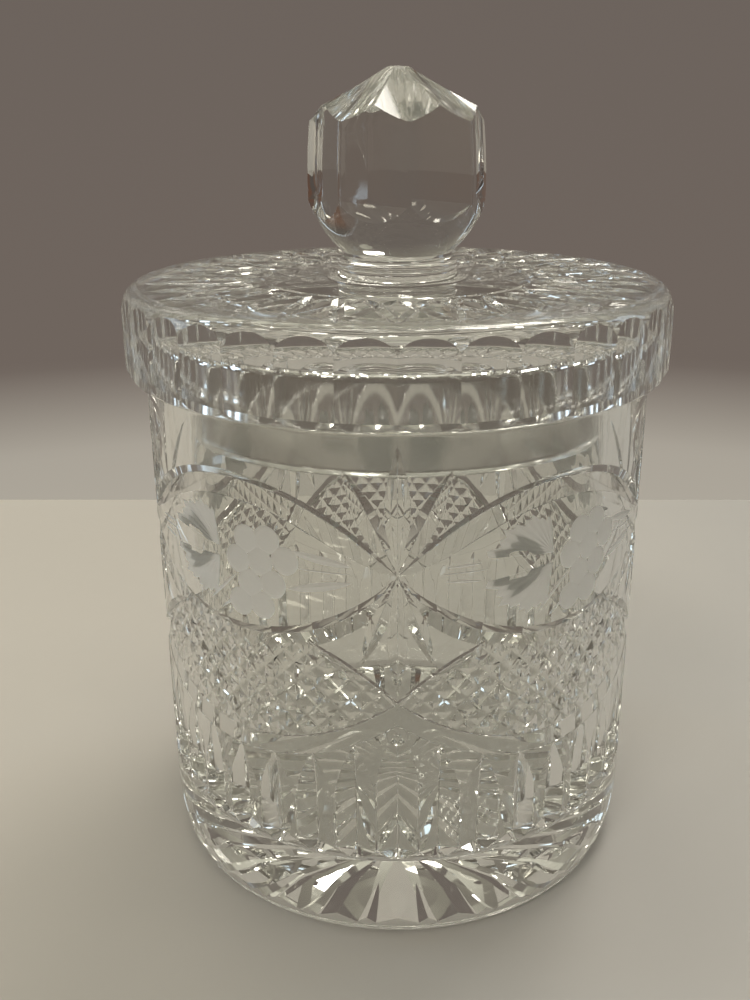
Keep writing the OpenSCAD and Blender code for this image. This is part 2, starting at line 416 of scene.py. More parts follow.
def bladeTool(name):
    blade = blades[name]
    lean = math.radians(blade["lean"])
    along, across = (-math.sin(lean), math.cos(lean)), (math.cos(lean), math.sin(lean))
    run = blade["width"] / 2 / blade["depth"]
    outlines = []
    for i in range(bladeCut["steps"] + 1):
        t = i / bladeCut["steps"]
        deep = blade["depth"] * math.sin(math.pi * t) ** bladeCut["swell"] - runOut["blade"]
        s = halfPanel + along[0] * t * blade["length"]
        z = jar["eyeNode"] + along[1] * t * blade["length"]
        outlines.append([onWall(s + across[0] * off, z + across[1] * off, d)
                         for off, d in cutSection(deep, run, run)])
    return loft(name + "Tool", outlines)


# Crossed grooves that leave small pyramids, numbered from the diamond's middle
hatch = {
    "pitch": 2 * halfPanel / 15, "depth": 0.68, "halfWidth": 1.9, "flat": 0.27,
    "first": -14, "last": 21, "middle": 70, "reach": 30.0, "border": 1.5,
    "step": 0.25, "run": 1.8, "past": 0.55, "shortest": 1.2,
}


def bandEdge(name, s, extra):
    size, heart, up = bandBow(bands[name])
    return heart + up * math.sqrt(max(0, size ** 2 - s ** 2)) - extra


def inDiamond(s, z):
    s = abs(s)
    if s > halfPanel:
        return False
    top = min(bandEdge("eyeLow", s, bands["eyeLow"]["width"] - hatch["border"]),
              bandEdge("diamondTop", s, hatch["border"]))
    return bandEdge("diamondLow", s, hatch["border"]) < z < top


def grooveTools(side):
    tools = []
    flat = hatch["flat"] * math.sqrt(0.5)
    slope = (hatch["halfWidth"] - hatch["flat"]) / hatch["depth"]
    for i in range(hatch["first"], hatch["last"] + 1):
        s0 = (i + 0.5) * hatch["pitch"]
        inside = []
        t = -hatch["reach"]
        while t < hatch["reach"]:
            if inDiamond(s0 + side * t, hatch["middle"] + t):
                inside.append(t)
            t += hatch["step"]
        if len(inside) * hatch["step"] < hatch["shortest"]:
            continue
        low, high = inside[0], inside[-1]
        # grooves that miss the half sector are left out
        ends = (s0 + side * low, s0 + side * high)
        if max(ends) < -2 or min(ends) > halfPanel + 1:
            continue
        steps = max(2, round((high - low) / hatch["run"]))
        outlines = []
        for k in range(-1, steps + 2):
            t = low + (high - low) * min(max(k, 0), steps) / steps
            deep = hatch["depth"]
            if k < 0 or k > steps:
                t += -hatch["past"] if k < 0 else hatch["past"]
                deep = -runOut["groove"]
            wide = flat + (deep + capHeight) * slope * math.sqrt(0.5)
            section = ((-wide, -capHeight), (-flat, deep), (flat, deep), (wide, -capHeight))
            outlines.append([onWall(s0 + side * t + off, hatch["middle"] + t - side * off, d)
                             for off, d in section])
        tool = loft("grooveTool", outlines)
        tool.data.materials.append(hatchGlass)
        tools.append(tool)
    return tools


# Upright flutes, tallest under the points of the diamonds
flutes = {
    "tips": (63, 58, 55, 52.7, 51.3), "depth": 2.0, "halfWidth": 5.3, "foot": 25.6,
    "arch": 15, "archSteps": 12, "archPower": 1.8, "toe": 0.3, "heel": 1.6, "heelShare": 0.45,
}


def fluteTool(k):
    tip = flutes["tips"][k]
    s = halfPanel * (1 - k / (len(flutes["tips"]) - 1))
    foot, arch, steps = flutes["foot"], flutes["arch"], flutes["archSteps"]
    spring = tip - arch
    run = flutes["halfWidth"] / flutes["depth"]
    heights = [foot - flutes["toe"], foot, foot + flutes["heel"], spring]
    heights += [spring + arch * j / steps for j in range(1, steps + 1)]
    outlines = []
    for z in heights:
        deep = flutes["depth"]
        if z > spring:
            deep *= 1 - ((z - spring) / arch) ** flutes["archPower"]
        if z <= foot + near:
            deep = -runOut["flute"] if z < foot else flutes["depth"] * flutes["heelShare"]
        if z >= tip - near:
            deep = -runOut["flute"]
        outlines.append([onWall(s + off, z, d) for off, d in cutSection(deep, run, run)])
    return loft("fluteTool", outlines)


def carvedWall():
    core = [(jar["coreRadius"], jar["skinLow"]), (jar["wallRadius"], jar["skinLow"]),
            (jar["wallRadius"], jar["skinHigh"]), (jar["coreRadius"], jar["skinHigh"])]
    wall = lathe("wallSkin", core, degrees=halfTurn + 2 * jar["spareTurn"], start=-jar["spareTurn"],
                 closed=True)
    wall.data.materials.append(cutGlass)
    tools = [bandTool("eyeTop"), bandTool("eyeLow"), bandTool("diamondTop"),
             bandTool("diamondLow"), bandTool("diamondLow", mirrored=True)]
    tools += [bladeTool(name) for name in blades]
    tools += grooveTools(1) + grooveTools(-1)
    tools += [fluteTool(k) for k in range(len(flutes["tips"]))]
    carve(wall, tools, cutGlass)
    # keep the half sector between the panel's middle and the node, then twin it
    edge = math.radians(halfTurn)
    for away in ((math.cos(edge), math.sin(edge), 0), (-1, 0, 0)):
        editAll(wall)
        bpy.ops.mesh.bisect(plane_co=(0, 0, 0), plane_no=away, clear_outer=True, threshold=weld["piece"])
        leaveEdit()
    for vertex in wall.data.vertices:
        if abs(vertex.co.x) < weld["middle"]:
            vertex.co.x = 0
    twin = wall.modifiers.new("twin", "MIRROR")
    twin.use_axis = (True, False, False)
    twin.use_mirror_merge, twin.merge_threshold = True, weld["mirror"]
    finishModifier(wall, twin)
    faceOut(wall, weld["sector"])
    print("wall sector carved:", len(wall.data.polygons), "faces")
    return wall


# Matt grape and leaf engraving, placed from the middle of the eye panel
engraving = {
    "grapeRadius": 3.6, "grapeFacets": 28, "deep": 0.24, "rib": 0.09, "ribShort": 0.9,
    "strokeDeep": 0.2, "strokeCap": 0.2, "strokeSpare": 0.02, "strokeSteps": 10,
    "endMargin": 9, "backing": 3,
    "grapes": ((10.9, 6.0), (5.0, 5.2), (15.6, 1.6), (2.2, -0.4), (8.8, 0.2),
               (5.6, -5.9), (12.2, -4.9), (9.0, -10.9), (2.6, -11.4)),
    # each fan: root, first and last bearing in degrees, reach at each, number of ribs
    "fans": (((-3.5, 1.5), 98, 174.5, 9.5, 20.0, 8), ((-3.5, -1.0), 185.5, 262, 20.0, 11.5, 8)),
    # each stroke: start, end, widest
    "strokes": (((-32.2, 0.2), (-21.0, 0.4), 0.8), ((16.5, 0.3), (32.2, 0.1), 0.8),
                ((1.6, -4.4), (-8.0, -13.6), 1.7), ((4.0, -8.4), (-4.4, -15.2), 1.5),
                ((16.5, 4.4), (32.0, 1.9), 4.2), ((16.0, -5.4), (32.0, -2.0), 4.6),
                ((-22.5, 2.2), (-31.5, 1.7), 1.4), ((-22.5, -2.2), (-31.5, -1.7), 1.4)),
}


def grapeTool(dx, dz):
    deep, facets, z = engraving["deep"], engraving["grapeFacets"], jar["eyeNode"] + dz
    turns = [math.tau * i / facets for i in range(facets)]
    outlines = []
    for share, d in ((1.04, -0.3), (0.98, 0.08), (0.8, deep - 0.05), (0.4, deep)):
        reach = engraving["grapeRadius"] * share
        outlines.append([onWall(dx + reach * math.cos(a), z + reach * math.sin(a), d) for a in turns])
    return loft("grapeTool", outlines)


def fanTool(root, first, last, reach0, reach1, ribs):
    outlines = []
    count = 2 * ribs
    for i in range(count + 1):
        t = i / count
        bearing = math.radians(first + (last - first) * t)
        lobe = 0.95 + 0.05 * math.cos(math.tau * t * 3)
        long = (reach0 + (reach1 - reach0) * t) * lobe * (1.0 if i % 2 else engraving["ribShort"])
        deep = engraving["deep"] - (0 if i % 2 else engraving["rib"])
        profile = ((0, -0.3), (1.02, -0.3), (0.98, 0.07), (0.5, deep), (0.08, deep * 0.8), (0, 0.1))
        outlines.append([onWall(root[0] + long * share * math.cos(bearing),
                                jar["eyeNode"] + root[1] + long * share * math.sin(bearing), d)
                         for share, d in profile])
    return loft("fanTool", outlines)


def strokeTool(start, end, widest):
    run = (end[0] - start[0], end[1] - start[1])
    long = math.hypot(*run)
    side = (-run[1] / long, run[0] / long)
    full, cap, steps = engraving["strokeDeep"], engraving["strokeCap"], engraving["strokeSteps"]
    outlines = []
    for i in range(steps + 1):
        t = i / steps
        deep = full * math.sin(math.pi * t) ** 0.7 - runOut["stroke"]
        half = widest / 2 * (deep + cap) / (full + cap) + engraving["strokeSpare"]
        s, z = start[0] + run[0] * t, jar["eyeNode"] + start[1] + run[1] * t
        outlines.append([onWall(s + side[0] * off, z + side[1] * off, d)
                         for off, d in ((-half, -cap), (0, deep), (half, -cap))])
    return loft("strokeTool", outlines)


def inEye(centre):
    r = math.hypot(centre.x, centre.y)
    s = math.atan2(centre.x, -centre.y) * jar["wallRadius"]
    if r < jar["wallRadius"] - near or abs(s) > halfPanel - engraving["endMargin"]:
        return False
    beyond = abs(s) - halfPanel
    top = bandEdge("eyeTop", s, bandWidth(bands["eyeTop"], beyond) * 0.9)
    return bandEdge("eyeLow", s, 0) < centre.z < top


# The plain face inside the eye is lifted off, backed, engraved and set back
def engrave(wall):
    markFaces(wall, inEye)
    bpy.ops.object.mode_set(mode="EDIT")
    bpy.ops.mesh.separate(type="SELECTED")
    leaveEdit()
    patch = [piece for piece in bpy.context.selected_objects if piece != wall][0]
    backing = patch.modifiers.new("backing", "SOLIDIFY")
    backing.thickness, backing.offset = engraving["backing"], -1
    finishModifier(patch, backing)
    tools = [grapeTool(*place) for place in engraving["grapes"]]
    tools += [fanTool(*fan) for fan in engraving["fans"]]
    tools += [strokeTool(*stroke) for stroke in engraving["strokes"]]
    patch.data.materials.append(frosting)
    carve(patch, tools, frosting)
    dropFaces(patch, lambda c: math.hypot(c.x, c.y) < jar["wallRadius"] - 0.6)
    print("eye engraved:", len(patch.data.polygons), "faces")
    whole = joined([wall, patch], "wallSkin")
    editAll(whole)
    bpy.ops.mesh.remove_doubles(threshold=weld["patch"])
    leaveEdit()
    return whole


def openSkin(wall):
    dropFaces(wall, lambda c: math.hypot(c.x, c.y) < jar["coreRadius"] + 0.3
              or abs(c.z - jar["skinLow"]) < near or abs(c.z - jar["skinHigh"]) < near)


star = {
    "mitres": 24, "end": 58.6, "thick": 9,
    "long": {"start": 9, "depth": 2.4, "halfWidth": 7.17},
    "short": {"start": 30, "depth": 2.1, "halfWidth": 3.3},
}


def starMitre(i, kind):
    cut = star[kind]
    outlines = []
    for t in (0, 0.5, 1):
        r = cut["start"] + (star["end"] - cut["start"]) * t
        deep = cut["depth"] * t - runOut["mitre"]
        half = (deep + capHeight) * cut["halfWidth"] / cut["depth"]
        outlines.append([(-half, r, jar["punt"] - capHeight), (0, r, jar["punt"] + deep),
                         (half, r, jar["punt"] - capHeight)])
    tool = loft("mitreTool", outlines)
    turn = i + (0.5 if kind == "short" else 0)
    tool.data.transform(Matrix.Rotation(math.tau * turn / star["mitres"], 4, "Z"))
    return tool


def starFoot():
    plug = lathe("footStar", [(0, jar["punt"]), (jar["puntRadius"], jar["punt"]),
                              (jar["puntRadius"], star["thick"]), (0, star["thick"])])
    plug.data.materials.append(cutGlass)
    mitres = [starMitre(i, kind) for i in range(star["mitres"]) for kind in ("long", "short")]
    carve(plug, mitres, cutGlass)
    dropFaces(plug, lambda c: c.z > jar["punt"] + star["long"]["depth"] + 0.3)
    print("foot star cut:", len(plug.data.polygons), "faces")
    return plug


# The plain glass round the carved wall: the foot outside, then rim, inner wall and floor
def jarShell():
    outer, inner, rise, edge = jar["wallRadius"], jar["insideRadius"], jar["footRise"], jar["footEdge"]
    punt, rim, corner, floor = jar["puntRadius"], jar["rimRound"], jar["floorRound"], jar["floor"]
    flare = outer - jar["footRadius"]
    bow = (rise ** 2 + flare ** 2) / 2 / flare
    foot = [(punt, jar["punt"]), (punt + 0.3, 0.12), (punt + 0.8, 0)]
    foot += arc(jar["footRadius"] - edge - 0.1, edge, edge, -90, -12, 7)
    for i in range(2, 13):
        z = rise * i / 12
        foot.append((outer - bow + math.sqrt(bow ** 2 - (rise - z) ** 2), z))
    foot.append((outer, jar["skinLow"]))
    inside = [(outer, jar["skinHigh"])]
    inside += arc(outer - rim, jar["rim"] - rim, rim, 0, 90, 8)
    inside += arc(inner + rim, jar["rim"] - rim, rim, 90, 180, 8)
    inside += [(inner, z) for z in (110, 80, 50)]
    inside += arc(inner - corner, floor + corner, corner, 0, -90, 14)
    inside += [(30, floor), (0, floor)]
    shell = [lathe("footRing", foot), lathe("insideAndRim", inside)]
    for part in shell:
        part.data.materials.append(wallGlass)
        shade(part, smoothBelow["shell"])
    return shell


def buildJar():
    wall = engrave(carvedWall())
    openSkin(wall)
    sectors = [turned(wall, halfTurn + 2 * halfTurn * k) for k in range(jar["panels"])]
    bpy.data.objects.remove(wall)
    skin = joined(sectors, "jarGlass")
    editAll(skin)
    bpy.ops.mesh.remove_doubles(threshold=weld["piece"])
    leaveEdit()
    shade(skin, smoothBelow["wall"])
    foot = starFoot()
    shade(foot, smoothBelow["star"])
    glassJar = joined([skin, foot] + jarShell(), "jarGlass")
    faceOut(glassJar)
    toMetres(glassJar)
    print("jar closed:", len(glassJar.data.polygons), "faces")
    return glassJar


jarGlass = buildJar()


lid = {
    "radius": 72, "low": 136.84, "top": 159.8, "lowRound": 3.4,
    "edgeHigh": 6.3, "edgeWide": 4.6, "collarRadius": 18.7,
    "ringRadius": 56, "ringLow": 123.4, "ringEdge": 1.1, "ringStart": 0.6,
    "recessRadius": 50, "recessTop": 147, "recessRound": 2,
    "flutes": 34, "fluteDeep": 0.9, "fluteSpread": 1.015, "fluteFacets": 120,
    "lozenges": 32, "lozengeIn": 36.5, "lozengeOut": 66, "lozengeDeep": 0.65, "lozengeWide": 2.0,
    "ringLine": 35.2, "ringLineDeep": 0.35, "ringLineWide": 0.9,
}


def lidOutline():
    r, top, low, start = lid["radius"], lid["top"], lid["low"], lid["ringStart"]
    high, wide, edge = lid["edgeHigh"], lid["edgeWide"], lid["ringEdge"]
    ringR, recessR, ringLow = lid["ringRadius"], lid["recessRadius"], lid["ringLow"]
    line = [(0, top), (lid["collarRadius"], top), (40, top)]
    for turn in [math.radians(degrees) for degrees in range(0, 91, 9)]:
        line.append((r - wide + wide * math.sin(turn), top - high + high * math.cos(turn)))
    line += arc(r - lid["lowRound"], low + lid["lowRound"], lid["lowRound"], 0, -90, 8)
    line += [(ringR + start, low), (ringR, low - start)]
    line += arc(ringR - edge, ringLow + edge, edge, 0, -90, 6)
    line += arc(recessR + edge, ringLow + edge, edge, -90, -180, 6)
    line += arc(recessR - lid["recessRound"], lid["recessTop"] - lid["recessRound"],
                lid["recessRound"], 0, 90, 6)
    line += [(0, lid["recessTop"])]
    return line


def edgeFlute(i):
    step = math.radians(360 / lid["flutes"])
    half = lid["radius"] * math.sin(step / 2) * lid["fluteSpread"]
    deep = lid["fluteDeep"]
    hollow = (half ** 2 + deep ** 2) / (2 * deep)
    chord = lid["radius"] * math.cos(step / 2)
    middle = (lid["top"] + lid["low"]) / 2
    nothingSelected()
    bpy.ops.mesh.primitive_cylinder_add(vertices=lid["fluteFacets"], radius=hollow,
                                        depth=lid["top"] - lid["low"] + 4,
                                        location=(0, -(chord - deep + hollow), middle))
    tool = bpy.context.object
    bpy.ops.object.transform_apply(location=True, rotation=True, scale=True)
    tool.data.transform(Matrix.Rotation((i + 0.5) * step, 4, "Z"))
    return tool


def lozengeMitre(i, side):
    step, out = math.radians(360 / lid["lozenges"]), lid["lozengeOut"]
    start = Vector((0, -lid["lozengeIn"], 0))
    end = Vector((side * out * math.sin(step), -out * math.cos(step), 0))
    run = end - start
    across = Vector((-run.y, run.x, 0)).normalized()
    slope = lid["lozengeWide"] / lid["lozengeDeep"]
    outlines = []
    for t in (0, 0.12, 0.3, 0.5, 0.7, 0.88, 1):
        deep = lid["lozengeDeep"] * math.sin(math.pi * (0.08 + 0.84 * t)) ** 0.5
        if t in (0, 1):
            deep = -runOut["mitre"]
        p = start + run * t
        outlines.append([p + across * off + Vector((0, 0, lid["top"] - d))
                         for off, d in cutSection(deep, slope, slope)])
    tool = loft("lozengeTool", outlines)
    tool.data.transform(Matrix.Rotation(i * step, 4, "Z"))
    return tool


def refinish(piece, finish, wanted):
    piece.data.materials.append(finish)
    slot = len(piece.data.materials) - 1
    for face in piece.data.polygons:
        if wanted(face):
            face.material_index = slot


# Where two pieces are melted together no surface shows between them
def markJoin(piece, z, radius):
    def melted(face):
        level = abs(face.center.z - z) < near and abs(face.normal.z) > 0.99
        return level and math.hypot(face.center.x, face.center.y) < radius
    refinish(piece, hotJoin, melted)


def buildLid():
    body = lathe("lidGlass", lidOutline())
    body.data.materials.append(wallGlass)
    ring, deep, cap = lid["ringLine"], lid["ringLineDeep"], lid["top"] + capHeight
    grow = (deep + capHeight) / deep
    half = lid["ringLineWide"] * grow
    line = lathe("ringTool", [(ring - half, cap), (ring, lid["top"] - deep), (ring + half, cap)], closed=True)
    tools = [line] + [edgeFlute(i) for i in range(lid["flutes"])]
    tools += [lozengeMitre(i, side) for i in range(lid["lozenges"]) for side in (1, -1)]
    carve(body, tools, wallGlass)
    body.name = body.data.name = "lidGlass"
    markJoin(body, lid["top"], lid["collarRadius"])
    refinish(body, ringGlass, lambda face: face.center.z < lid["low"] - 0.2)
    faceOut(body)
    shade(body, smoothBelow["lid"])
    toMetres(body)
    print("lid carved:", len(body.data.polygons), "faces")
    return body


lidGlass = buildLid()


# heights of the groove and bead are measured up from the collar's foot
collar = {
    "low": 159.8, "high": 166.6, "foot": 18.7, "footEdge": 0.35, "sweepHigh": 2.35, "neck": 15.2,
    "bead": 15.9, "beadRound": 1.0, "beadHigh": 3.75, "groove": 14.3, "top": 14.2,
}


def buildCollar():
    c, z = collar, collar["low"]
    line = [(0, z), (c["foot"], z), (c["foot"] - 0.1, z + c["footEdge"])]
    sweep = c["foot"] - 0.25 - c["neck"]
    for t in range(9):
        line.append((c["neck"] + sweep * (1 - t / 8) ** 1.7, z + c["footEdge"] + c["sweepHigh"] * t / 8))
    line += arc(c["bead"] - c["beadRound"], z + c["beadHigh"], c["beadRound"], -72, 72, 9)
    line += [(c["groove"] + 0.15, z + 5.0), (c["groove"], z + 5.35), (c["groove"] + 0.1, z + 5.75),
             (c["top"] + 0.35, z + 6.2), (c["top"], c["high"]), (0, c["high"])]
    body = lathe("collarGlass", line, steps=180)
    body.data.materials.append(wallGlass)
    markJoin(body, c["low"], c["foot"])
    markJoin(body, c["high"], c["top"])
    shade(body, smoothBelow["collar"])
    toMetres(body)
    print("collar turned:", len(body.data.polygons), "faces")
    return body


collarGlass = buildCollar()


# the bowl's two angles are its lean from upright at the neck and where it meets the panels
knob = {
    "corner": 23.4, "low": 166.6, "top": 211.6, "neck": 14.2, "bowlLow": 50, "bowlHigh": 18,
    "crown": 13.4, "tip": 2.5, "hollow": 1.5, "turn": 7.3, "sides": 8, "arris": 0.75,
    "fullest": 183, "crownFoot": 202, "leanIn": 0.055,
}


# The turned form that the block is cut down to: the bowl, with room above it
def turnedBowl():
    k = knob
    lowLean, highLean = math.radians(k["bowlLow"]), math.radians(k["bowlHigh"])
    size = (k["corner"] - k["neck"]) / (math.cos(highLean) - math.cos(lowLean))
    bowlTop = k["low"] + size * (math.sin(lowLean) - math.sin(highLean))
    line = [(0, k["low"])]
    for i in range(25):
        turn = lowLean + (highLean - lowLean) * i / 24
        line.append((k["neck"] + size * (math.cos(turn) - math.cos(lowLean)),
                     k["low"] + size * (math.sin(lowLean) - math.sin(turn))))
    line += [(k["corner"] + 3, bowlTop + 0.01), (k["corner"] + 3, k["top"] + 2), (0, k["top"] + 2)]
    return lathe("knobTurned", line, steps=288)


# The eight-sided block, with softened arrises, that leans in below and above its fullest height
def panelBlock():
    k = knob
    nothingSelected()
    bpy.ops.mesh.primitive_cylinder_add(vertices=k["sides"], radius=k["corner"],
                                        depth=k["top"] - k["low"] + 2,
                                        location=(0, 0, (k["top"] + k["low"]) / 2 - 1))
    body = bpy.context.object
    bpy.ops.object.transform_apply(location=True, rotation=True, scale=True)
    body.data.materials.append(bowlGlass)
    pick(body)
    bpy.ops.object.mode_set(mode="EDIT")
    bpy.ops.mesh.select_mode(type="EDGE")
    bpy.ops.mesh.select_all(action="DESELECT")
    leaveEdit()
    for edge in body.data.edges:
        ends = [body.data.vertices[i].co for i in edge.vertices]
        edge.select = abs(ends[0].z - ends[1].z) > 1
    bpy.ops.object.mode_set(mode="EDIT")
    bpy.ops.mesh.bevel(offset=k["arris"], segments=4, affect="EDGES")
    bpy.ops.mesh.select_all(action="SELECT")
    for z in range(int(k["low"]) + 4, int(k["top"]) - 1, 3):
        bpy.ops.mesh.bisect(plane_co=(0, 0, z), plane_no=(0, 0, 1))
        bpy.ops.mesh.select_all(action="SELECT")
    leaveEdit()
    for vertex in body.data.vertices:
        off = (vertex.co.z - k["fullest"]) / (k["crownFoot"] - k["fullest"])
        lean = 1 - k["leanIn"] * off ** 2
        vertex.co.x *= lean
        vertex.co.y *= lean
    return body


# A wheel for each hollow facet of the crown
def crownWheels():
    k = knob
    step = math.tau / k["sides"]
    lean = math.atan2(k["crown"], k["corner"] - k["tip"])
    half = k["corner"] * math.sin(step / 2)
    hollow = (half ** 2 + k["hollow"] ** 2) / 2 / k["hollow"]
    wheels = []
    for i in range(k["sides"]):
        nothingSelected()
        bpy.ops.mesh.primitive_cylinder_add(vertices=256, radius=hollow, depth=60)
        wheel = bpy.context.object
        # lay the wheel along the slope so that its lowest line runs from the tip to an arris
        wheel.data.transform(Matrix.Translation((0, hollow, 0)))
        wheel.data.transform(Matrix.Rotation(math.pi / 2 + lean, 4, "X"))
        wheel.data.transform(Matrix.Translation((0, -k["tip"], k["top"])))
        wheel.data.transform(Matrix.Rotation(i * step, 4, "Z"))
        wheels.append(wheel)
    return wheels


def buildKnob():
    k = knob
    bowl = turnedBowl()
    body = panelBlock()
    # arrises start on the front line and are turned with the rest at the end
    meet = body.modifiers.new("bowl", "BOOLEAN")
    meet.operation, meet.solver, meet.object = "INTERSECT", "EXACT", bowl
    bowl.data.materials.append(bowlGlass)
    finishModifier(body, meet)
    bpy.data.objects.remove(bowl)
    carve(body, crownWheels(), crownGlass)
    body.data.transform(Matrix.Rotation(math.radians(k["turn"]), 4, "Z"))
    body.name = body.data.name = "knobGlass"
    markJoin(body, k["low"], k["neck"])
    faceOut(body)
    shade(body, smoothBelow["knob"])
    toMetres(body)
    print("knob cut:", len(body.data.polygons), "faces")
    return body


knobGlass = buildKnob()


# Each piece rides on its body and stands for its CAD node
for piece, body, node, slot in ((jarGlass, "jar", "jar", "jar_crystal"),
                                (lidGlass, "lid", "lid", "lid_crystal"),
                                (collarGlass, "lid", "knob_collar", "knob_crystal"),
                                (knobGlass, "lid", "knob", "knob_crystal")):
    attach(piece, body)
    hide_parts(node)


# Table and room
setting = {
    # painted light and shade: the table's colour is lighter on the left and darker towards the right and
    # front, with random mottling on top
    "tablePaintedLight": (0.64, 0.605, 0.56), "tablePaintedShade": (0.45, 0.445, 0.45), "paintedShadeFade": (-0.13, 0.22),
    "tableRoughness": 0.6, "cloudScale": 9, "cloudDetail": 6, "cloudShare": 0.3,
    # painted light: a glow on the table that only rays through the glass see
    "tableGlowThroughGlass": (0.50, 0.46, 0.39, 1), "paintedGlowShare": 0.5,
    "tableBehind": 0.26, "tableFront": 1.4, "tableSide": 1.6,
    # the room's tone at each height above or below the eye, in degrees
    "roomTones": ((-24, (0.44, 0.405, 0.34)), (-17, (0.40, 0.365, 0.31)),
                  (-12.5, (0.160, 0.131, 0.112)), (20, (0.145, 0.122, 0.108)),
                  (36, (0.26, 0.24, 0.19)), (58, (0.74, 0.71, 0.58)), (90, (0.80, 0.77, 0.64))),
    "behindShade": 0.52, "behindFade": (-0.35, 0.25),
    "boxFade": (1.15, 0.8),
}

# each soft box: bearing from the front towards +X, height, width and tallness in degrees,
# then colour and strength
softBoxes = {
    "windowLeft": (-75, 14, 18, 30, (0.70, 0.86, 1.0), 2.6),
    "windowRight": (66, 22, 12, 20, (0.74, 0.88, 1.0), 2.4),
    "cupboardLeft": (-128, 0, 50, 26, (0.20, 0.105, 0.065), 0.7),
    "cupboardRight": (112, -2, 26, 30, (0.20, 0.09, 0.05), 0.6),
    "lampRow": (158, 33, 30, 5, (1.0, 0.93, 0.76), 7.0),
    "lampNear": (-165, 47, 7, 5, (1.0, 0.93, 0.78), 7.0),
    "lampSide": (95, 48, 6, 6, (1.0, 0.95, 0.82), 7.0),
    "lampTop": (-30, 74, 10, 7, (1.0, 0.95, 0.82), 7.0),
    "lampBack": (20, 50, 14, 5, (1.0, 0.95, 0.85), 10.0),
}


def mathNode(nodes, links, kind, *values):
    node = nodes.new("ShaderNodeMath")
    node.operation = kind
    for socket, value in zip(node.inputs, values):
        if isinstance(value, (int, float)):
            socket.default_value = value
        else:
            links.new(value, socket)
    return node.outputs["Value"]


def alongNode(nodes, links, ray, direction):
    dot = nodes.new("ShaderNodeVectorMath")
    dot.operation = "DOT_PRODUCT"
    links.new(ray, dot.inputs[0])
    dot.inputs[1].default_value = direction
    return dot.outputs["Value"]


def setTable():
    nothingSelected()
    bpy.ops.mesh.primitive_plane_add(size=1)
    table = bpy.context.object
    table.name = "tableTop"
    side, front, behind = setting["tableSide"], setting["tableFront"], setting["tableBehind"]
    setPoints(table, [(-side, -front, 0), (side, -front, 0), (-side, behind, 0), (side, behind, 0)])
    material, nodes, links, shader = newMaterial("paleTable")
    shader.inputs["Roughness"].default_value = setting["tableRoughness"]
    place = nodes.new("ShaderNodeTexCoord")
    cloud = nodes.new("ShaderNodeTexNoise")
    cloud.inputs["Scale"].default_value = setting["cloudScale"]
    cloud.inputs["Detail"].default_value = setting["cloudDetail"]
    # painted shade: the table's colour darkens along a slant from left to right-front
    across = nodes.new("ShaderNodeMapRange")
    across.inputs["From Min"].default_value = setting["paintedShadeFade"][0]
    across.inputs["From Max"].default_value = setting["paintedShadeFade"][1]
    paintedShadeSlant = alongNode(nodes, links, place.outputs["Object"], (1, -0.35, 0))
    links.new(paintedShadeSlant, across.inputs["Value"])
    drift = mathNode(nodes, links, "MULTIPLY_ADD", cloud.outputs["Fac"],
                     setting["cloudShare"], -setting["cloudShare"] / 2)
    shadeAndMottleMix = nodes.new("ShaderNodeMix")
    shadeAndMottleMix.data_type = "RGBA"
    shadeAndMottleMix.inputs["A"].default_value = setting["tablePaintedLight"] + (1,)
    shadeAndMottleMix.inputs["B"].default_value = setting["tablePaintedShade"] + (1,)
    links.new(place.outputs["Object"], cloud.inputs["Vector"])
    shadeAndMottle = mathNode(nodes, links, "ADD", across.outputs["Result"], drift)
    links.new(shadeAndMottle, shadeAndMottleMix.inputs["Factor"])
    links.new(shadeAndMottleMix.outputs["Result"], shader.inputs["Base Color"])
    # painted light: seen through the glass, the table glows with part of its lit tone, which fills in the
    # shadow under the jar
    paintedGlow = nodes.new("ShaderNodeEmission")
    paintedGlow.inputs["Color"].default_value = setting["tableGlowThroughGlass"]
    path = nodes.new("ShaderNodeLightPath")
    through = path.outputs["Is Transmission Ray"]
    tableOrGlow = nodes.new("ShaderNodeMixShader")
    links.new(mathNode(nodes, links, "MULTIPLY", through, setting["paintedGlowShare"]), tableOrGlow.inputs["Fac"])
    links.new(shader.outputs["BSDF"], tableOrGlow.inputs[1])
    links.new(paintedGlow.outputs["Emission"], tableOrGlow.inputs[2])
    links.new(tableOrGlow.outputs["Shader"], nodes["Material Output"].inputs["Surface"])
    table.data.materials.append(material)


# How far a ray is inside one side of a soft box: 1 in the middle, 0 outside
def edgeNode(nodes, links, offset, halfSize):
    edge = nodes.new("ShaderNodeMapRange")
    edge.interpolation_type = "SMOOTHSTEP"
    edge.inputs["From Min"].default_value = halfSize * setting["boxFade"][0]
    edge.inputs["From Max"].default_value = halfSize * setting["boxFade"][1]
    links.new(mathNode(nodes, links, "ABSOLUTE", offset), edge.inputs["Value"])
    return edge.outputs["Result"]


def boxNode(nodes, links, ray, bearing, height, wide, tall):
    turn, rise = math.radians(bearing), math.radians(height)
    ahead = (math.sin(turn) * math.cos(rise), math.cos(turn) * math.cos(rise), math.sin(rise))
    beside = (math.cos(turn), -math.sin(turn), 0)
    above = (-math.sin(turn) * math.sin(rise), -math.cos(turn) * math.sin(rise), math.cos(rise))
    forward = alongNode(nodes, links, ray, ahead)
    inside = mathNode(nodes, links, "GREATER_THAN", forward, 0.05)
    for direction, size in ((beside, wide), (above, tall)):
        offset = mathNode(nodes, links, "DIVIDE", alongNode(nodes, links, ray, direction), forward)
        edge = edgeNode(nodes, links, offset, math.tan(math.radians(size / 2)))
        inside = mathNode(nodes, links, "MULTIPLY", inside, edge)
    return inside


